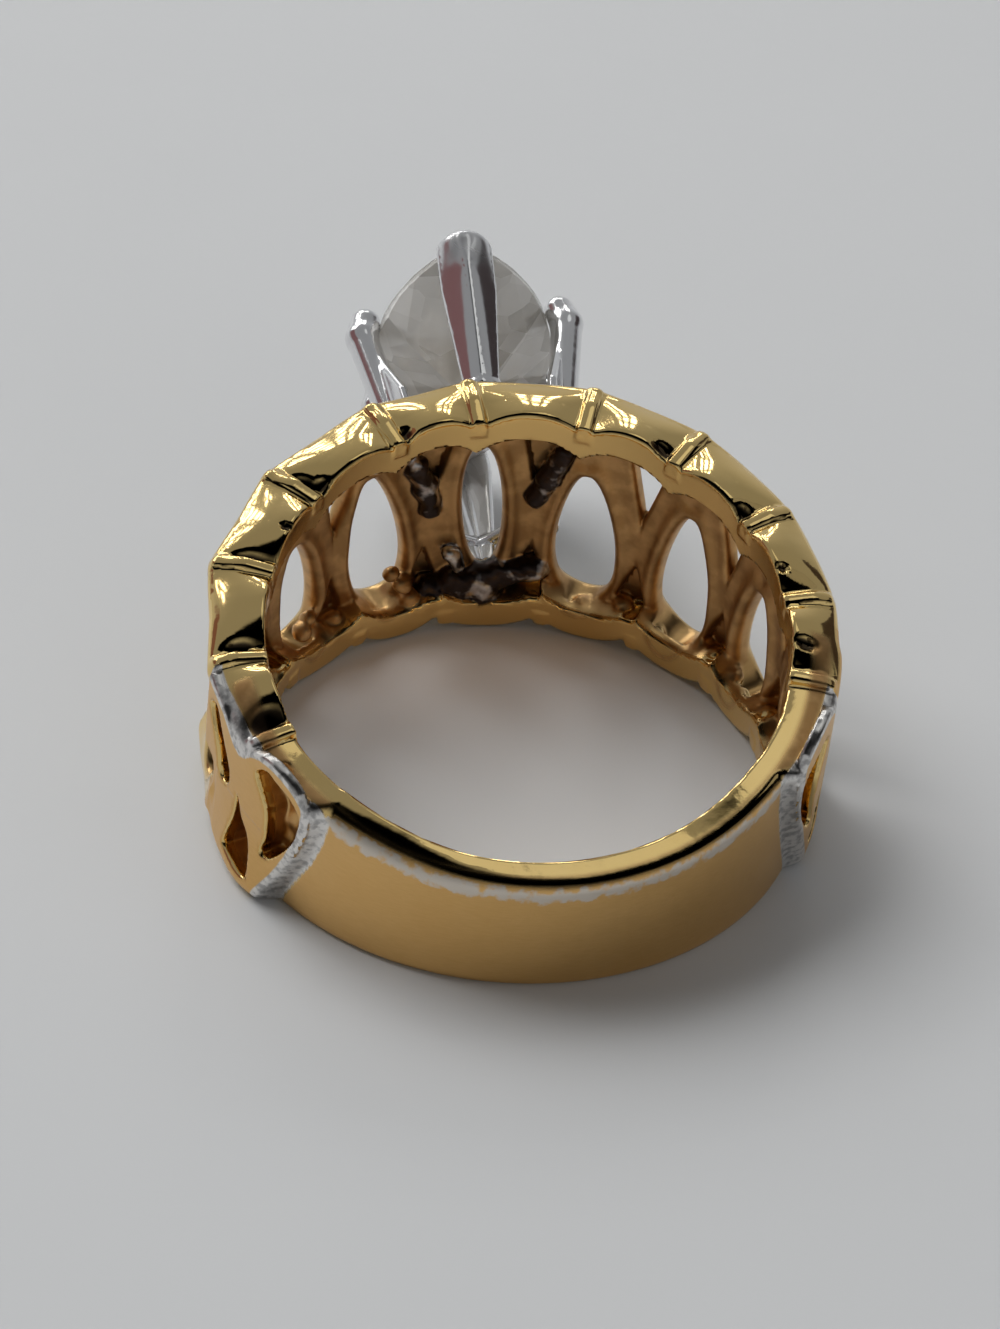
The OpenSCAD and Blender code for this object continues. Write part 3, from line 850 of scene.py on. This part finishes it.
class Nodes:
    """Short way to build a node tree."""

    def __init__(self, name):
        self.material = bpy.data.materials.new(name)
        self.material.use_nodes = True
        self.tree = self.material.node_tree
        self.bsdf = self.tree.nodes["Principled BSDF"]

    def new(self, kind, **inputs):
        node = self.tree.nodes.new(kind)
        for key, value in inputs.items():
            self.put(node, key, value)
        return node

    def put(self, node, key, value):
        socket = node.inputs[key if isinstance(key, int) else key.replace("_", " ")]
        if isinstance(value, bpy.types.NodeSocket):
            self.tree.links.new(value, socket)
        else:
            socket.default_value = value

    def set(self, **inputs):
        for key, value in inputs.items():
            self.put(self.bsdf, key, value)

    def math(self, op, a, b):
        node = self.tree.nodes.new("ShaderNodeMath")
        node.operation = op
        self.put(node, 0, a)
        self.put(node, 1, b)
        return node.outputs[0]

    def between(self, kind, first, out, fac, a, b):
        node = self.tree.nodes.new("ShaderNodeMix")
        node.data_type = kind
        for i, value in ((0, fac), (first, a), (first + 1, b)):
            self.put(node, i, value)
        return node.outputs[out]

    def mix(self, fac, a, b):
        """Colour between two colours."""
        return self.between("RGBA", 6, 2, fac, a, b)

    def tone(self, look, fac):
        return self.mix(fac, *TONES[look])

    def blend(self, fac, a, b):
        """Number between two numbers."""
        return self.between("FLOAT", 2, 0, fac, a, b)

    def span(self, value, lo, hi):
        """Goes smoothly from 0 at lo to 1 at hi."""
        node = self.tree.nodes.new("ShaderNodeMapRange")
        node.interpolation_type = "SMOOTHSTEP"
        for i, v in enumerate((value, lo, hi)):
            self.put(node, i, v)
        return node.outputs[0]

    def layer(self, name):
        node = self.tree.nodes.new("ShaderNodeAttribute")
        node.attribute_name = name
        return node.outputs["Fac"]

    def frayed(self, name, texture, amount):
        """Layer whose edges a texture makes uneven."""
        change = self.math("MULTIPLY", self.math("SUBTRACT", texture, 0.5), amount)
        return self.math("ADD", self.layer(name), change)

    def place(self, scale):
        coord = self.tree.nodes.new("ShaderNodeTexCoord")
        mapping = self.tree.nodes.new("ShaderNodeMapping")
        mapping.inputs["Scale"].default_value = scale
        self.tree.links.new(coord.outputs["Object"], mapping.inputs["Vector"])
        return mapping.outputs[0]

    def noise(self, scale, detail, stretch=(1, 1, 1)):
        place = self.place(stretch)
        return self.new("ShaderNodeTexNoise", Vector=place, Scale=scale, Detail=detail).outputs[0]

    def bump(self, height, distance, strength, normal=None):
        node = self.new("ShaderNodeBump", Height=height, Distance=distance, Strength=strength)
        if normal is not None:
            self.put(node, "Normal", normal)
        return node.outputs[0]


def gold_material():
    m = Nodes("gold_plating")
    ripple, grain, cloudy = m.noise(900, 2), m.noise(9000, 3), m.noise(350, 4)
    brushed, crumbs, mottle = m.noise(2500, 4, (1, 1, 9)), m.noise(1100, 3), m.noise(3600, 4)
    white = m.span(m.frayed("white", cloudy, 0.18), -0.03, 0.04)
    satin = m.span(m.layer("satin"), -0.1, 0.25)
    ribbon = m.span(m.layer("ribbon"), -0.1, 0.2)
    worn = m.span(m.frayed("worn", m.noise(2600, 5), 0.8), 0.0, 0.2)
    deep = m.span(m.layer("deep"), -0.05, 0.3)
    solder = m.span(m.layer("solder"), -0.02, 0.06)
    pit = m.span(m.frayed("pit", crumbs, 0.4), 0.0, 0.3)

    streaks = m.math("ADD", m.math("MULTIPLY", brushed, 0.6), m.math("MULTIPLY", cloudy, 0.4))
    # rail walls: warmer gold, partly painted warm bounce light
    colour = m.mix(satin, m.mix(ribbon, m.tone("polished", cloudy), RAIL_GOLD_AND_BOUNCE), m.tone("satin", streaks))
    # recesses painted a darker brown as shade
    colour = m.mix(m.math("MULTIPLY", deep, 0.95), colour, m.tone("recess_shade", m.span(crumbs, 0.35, 0.65)))
    # pits painted black as shade and dark reflection
    colour = m.mix(m.math("MULTIPLY", pit, 0.95), colour, PIT_PAINTED_SHADE)
    colour = m.mix(m.math("MULTIPLY", worn, 0.88), colour, WORN_METAL)
    colour = m.mix(white, colour, m.tone("white", m.span(mottle, 0.34, 0.58)))
    # painted shade and grey painted glints on the solder
    colour = m.mix(solder, colour, m.tone("solder", m.span(crumbs, 0.52, 0.66)))

    rough = m.blend(cloudy, 0.05, 0.09)
    for mask, value in ((satin, m.blend(brushed, 0.3, 0.42)), (ribbon, m.blend(cloudy, 0.2, 0.32)),
                        (deep, m.blend(crumbs, 0.3, 0.5)), (worn, 0.45), (white, 0.28), (solder, 0.3)):
        rough = m.blend(mask, rough, value)

    normal = m.bump(ripple, 0.00003, 0.5)
    uneven = m.math("MAXIMUM", m.math("MULTIPLY", m.math("MAXIMUM", deep, white), 0.4), solder)
    normal = m.bump(m.math("MULTIPLY", crumbs, uneven), 0.00004, 0.5, normal)
    fine = m.math("MULTIPLY", grain, m.math("ADD", m.math("MULTIPLY", satin, 0.8), 0.15))
    normal = m.bump(fine, 0.000012, 0.5, normal)
    m.set(Base_Color=colour, Metallic=1.0, Roughness=rough, Normal=normal)
    return m.material


def white_metal_material():
    m = Nodes("rhodium_plating")
    cloudy = m.noise(500, 3)
    rough = m.blend(m.layer("tip"), m.blend(cloudy, 0.08, 0.16), m.blend(cloudy, 0.22, 0.34))
    m.set(Base_Color=m.tone("head", cloudy), Metallic=1.0, Roughness=rough,
          Normal=m.bump(m.noise(1100, 2), 0.00002, 0.4))
    return m.material


def stone_material():
    m = Nodes("cut_stone")
    film, crown = m.noise(700, 4), m.layer("crown")
    # patches of light and dark, as the facets behind throw them back, and fewer of them on the crown
    cells = m.new("ShaderNodeTexVoronoi", Vector=m.place((1, 0.6, 1.3)), Scale=800.0, Randomness=0.9)
    patch = m.new("ShaderNodeSeparateColor", Color=cells.outputs["Color"]).outputs[0]
    patch = m.math("ADD", m.math("MULTIPLY", patch, m.blend(crown, 0.8, 0.15)),
                   m.blend(crown, m.math("MULTIPLY", film, 0.3), 0.6))
    m.set(Base_Color=m.tone("stone", patch), Roughness=m.blend(film, 0.04, 0.12), IOR=1.9,
          Transmission_Weight=m.blend(crown, m.blend(patch, 0.5, 0.1), 0.85))
    return m.material


def floor_material():
    m = Nodes("table_top")
    m.set(Base_Color=m.tone("table", m.noise(30, 3)), Roughness=m.blend(m.noise(220, 3), 0.42, 0.52),
          Normal=m.bump(m.noise(2500, 3), 0.00001, 0.3))
    return m.material


def card_material(name, colour):
    m = Nodes(name)
    darker = tuple(c * 0.92 for c in colour[:3]) + (1,)
    m.set(Base_Color=(0.02, 0.02, 0.02, 1), Roughness=0.9, Emission_Strength=1.0,
          Emission_Color=m.mix(m.noise(12, 2), colour, darker))
    return m.material


# Pieces

build_band().data.materials.append(gold_material())
build_setting().data.materials.append(white_metal_material())
build_stone().data.materials.append(stone_material())


# Floor and camera

def aim(obj, centre, look_at, axis):
    """Puts an object at a place, with one axis towards a point."""
    obj.location = centre
    obj.rotation_euler = (Vector(look_at) - Vector(centre)).to_track_quat(axis, "Y").to_euler()
    return obj


def plane(name, size_x, size_y, material):
    mesh = bpy.data.meshes.new(name)
    x, y = size_x / 2, size_y / 2
    mesh.from_pydata([(-x, -y, 0), (x, -y, 0), (x, y, 0), (-x, y, 0)], [], [(0, 1, 2, 3)])
    mesh.materials.append(material)
    obj = add_object(name, mesh)
    return obj


plane("table", 3.0, 3.0, floor_material())

# Camera from a fit of the ring's main lines: 230 mm off, 39 degrees down, 13 degrees off the head's line
FOCAL_PX, DISTANCE, SENSOR_MM = 6785.0, 0.230, 36
PITCH_DOWN, ROLL, YAW = math.radians(38.97), math.radians(4.95), math.radians(-12.77)
# Pixel at which the camera sees the point of the table that is 0.4 mm in front of the row's origin
TARGET_PX, PICTURE = (509.79, 799.36), (1000, 1329)
TABLE_SHIFT = 0.0004


def camera_axes():
    """Rows are the camera's right, down and forward axes in the row frame."""
    forward = np.array([0, math.cos(PITCH_DOWN), -math.sin(PITCH_DOWN)])
    right = np.array([1.0, 0, 0])
    level = np.vstack([right, np.cross(forward, right), forward])
    c, s = math.cos(ROLL), math.sin(ROLL)
    rolled = np.array([[c, -s, 0], [s, c, 0], [0, 0, 1]]) @ level
    c, s = math.cos(YAW), math.sin(YAW)
    return rolled @ np.array([[c, s, 0], [-s, c, 0], [0, 0, 1]])


def add_camera():
    axes = camera_axes()
    offset = np.array([(TARGET_PX[0] - PICTURE[0] / 2) / FOCAL_PX * DISTANCE,
                       (TARGET_PX[1] - PICTURE[1] / 2) / FOCAL_PX * DISTANCE, DISTANCE])
    eye = -axes.T @ offset - np.array([0, TABLE_SHIFT, 0])
    data = bpy.data.cameras.new("camera")
    data.lens = FOCAL_PX * SENSOR_MM / PICTURE[1]
    data.clip_start, data.clip_end = 0.01, 20
    cam = add_object("camera", data)
    cam.matrix_world = Matrix([[axes[0][i], -axes[1][i], -axes[2][i], eye[i]] for i in range(3)]
                              + [[0, 0, 0, 1]])
    bpy.context.scene.camera = cam


add_camera()

# Lamps, windows and cards

DAYLIGHT = (1.0, 0.99, 0.97)
# Side of a window's square panes, gap between them, distance from the ring, and radiance
PANE, PANE_GAP, WINDOW_AT, RADIANCE = 0.042, 0.034, 0.95, 5.5
# Windows: azimuth and elevation from the ring, columns and rows of panes
WINDOWS = (("window_left", -32, 28, 4, 6), ("window_middle", -8, 25, 4, 5), ("window_right", 15, 31, 3, 3))
# Cards: azimuth, elevation, width, height, distance, colour
CARDS = (
    # for the shank's polished wall, and for the two faces of the folded prong
    ("dark_card", 170, 30, 0.16, 0.22, 0.41, (0.035, 0.03, 0.03, 1)),
    ("warm_card", -62, 25, 0.15, 0.17, 0.35, (0.17, 0.08, 0.08, 1)),
    ("black_card", 66, 21, 0.13, 0.14, 0.35, (0.026, 0.017, 0.017, 1)),
    # for the right half of the band
    ("high_card", 50, 66, 0.16, 0.13, 0.37, (0.66, 0.67, 0.66, 1)),
    ("side_card", 88, 47, 0.13, 0.13, 0.39, (0.24, 0.24, 0.24, 1)),
)
# Room that is bright low on the far side, dim low behind the camera and dark overhead: direction of each
# glow, the shares of that direction at which it starts and is full, and its strength
GLOWS = (((-0.1, 1, -0.15), -0.07, 0.06, 0.27), ((-0.15, 1, -0.55), 0.1, 0.8, 0.2),
         ((0, -1, -0.6), 0.0, 0.8, 0.38))


def towards(azimuth, elevation):
    """Direction from the ring, with the head's side at azimuth 0 and the right at 90."""
    az, el = math.radians(azimuth), math.radians(elevation)
    return Vector((math.sin(az) * math.cos(el), math.cos(az) * math.cos(el), math.sin(el)))


def area(name, centre, look_at, size_x, size_y, power, colour):
    data = bpy.data.lights.new(name, "AREA")
    data.shape = "RECTANGLE"
    data.size, data.size_y, data.energy, data.color = size_x, size_y, power, colour
    return aim(add_object(name, data), centre, look_at, "-Z")


def window(name, azimuth, elevation, columns, rows):
    """Window of square panes, seen from the ring in that direction."""
    middle = towards(azimuth, elevation) * WINDOW_AT
    across = Vector((math.cos(math.radians(azimuth)), -math.sin(math.radians(azimuth)), 0))
    up = middle.normalized().cross(across) * -1
    for i in range(columns):
        for j in range(rows):
            spot = (middle + across * (i - (columns - 1) / 2) * (PANE + PANE_GAP)
                    + up * (j - (rows - 1) / 2) * (PANE + PANE_GAP))
            area(f"{name}_{i}{j}", spot, (0, 0, 0), PANE, PANE, RADIANCE * math.pi * PANE * PANE, DAYLIGHT)


def unseen(obj, *kinds):
    """Keeps a lamp or a card out of those kinds of rays."""
    for kind in kinds:
        setattr(obj, "visible_" + kind, False)


for place in WINDOWS:
    window(*place)
unseen(area("ceiling", (-0.5, 0.5, 0.95), (0, 0, 0), 0.9, 0.9, 10.0, DAYLIGHT), "glossy")
unseen(area("fill", (0.5, -0.6, 0.8), (0, 0, 0), 1.2, 1.2, 1.7, (1.0, 0.99, 0.98)), "glossy")
# light that the gold throws on the table inside the ring
for name, centre, look_at, power, colour in (
        ("gold_bounce", (0, 0.0072, 0.004), (0, 0, 0), 5e-5, (1.0, 0.45, 0.1)),
        ("shank_bounce", (0, -0.0076, 0.005), (0, -0.0028, 0), 1e-4, (1.0, 0.94, 0.86))):
    unseen(area(name, centre, look_at, 0.012, 0.005, power, colour), "glossy", "camera")
# cards only show in reflections
for name, azimuth, elevation, width, height, distance, colour in CARDS:
    card = plane(name, width, height, card_material(name, colour))
    aim(card, towards(azimuth, elevation) * distance, (0, 0, 0), "Z")
    unseen(card, "camera", "diffuse", "shadow")


def room_light():
    """World whose light is the sum of the glows."""
    world = bpy.data.worlds.new("room")
    world.use_nodes = True
    nodes, links = world.node_tree.nodes, world.node_tree.links
    coord = nodes.new("ShaderNodeTexCoord")
    total = None
    for direction, lo, hi, strength in GLOWS:
        dot, span = nodes.new("ShaderNodeVectorMath"), nodes.new("ShaderNodeMapRange")
        dot.operation = "DOT_PRODUCT"
        dot.inputs[1].default_value = direction
        span.interpolation_type = "SMOOTHSTEP"
        for i, value in ((1, lo), (2, hi), (3, 0.0), (4, strength)):
            span.inputs[i].default_value = value
        links.new(coord.outputs["Generated"], dot.inputs[0])
        links.new(dot.outputs["Value"], span.inputs[0])
        glow = span.outputs[0]
        if total is not None:
            both = nodes.new("ShaderNodeMath")
            both.operation = "ADD"
            links.new(total, both.inputs[0])
            links.new(glow, both.inputs[1])
            glow = both.outputs[0]
        total = glow
    back = nodes["Background"]
    back.inputs[0].default_value = (0.97, 0.985, 1.0, 1)
    links.new(total, back.inputs[1])
    bpy.context.scene.world = world


room_light()
bpy.context.scene.view_settings.view_transform = "Standard"
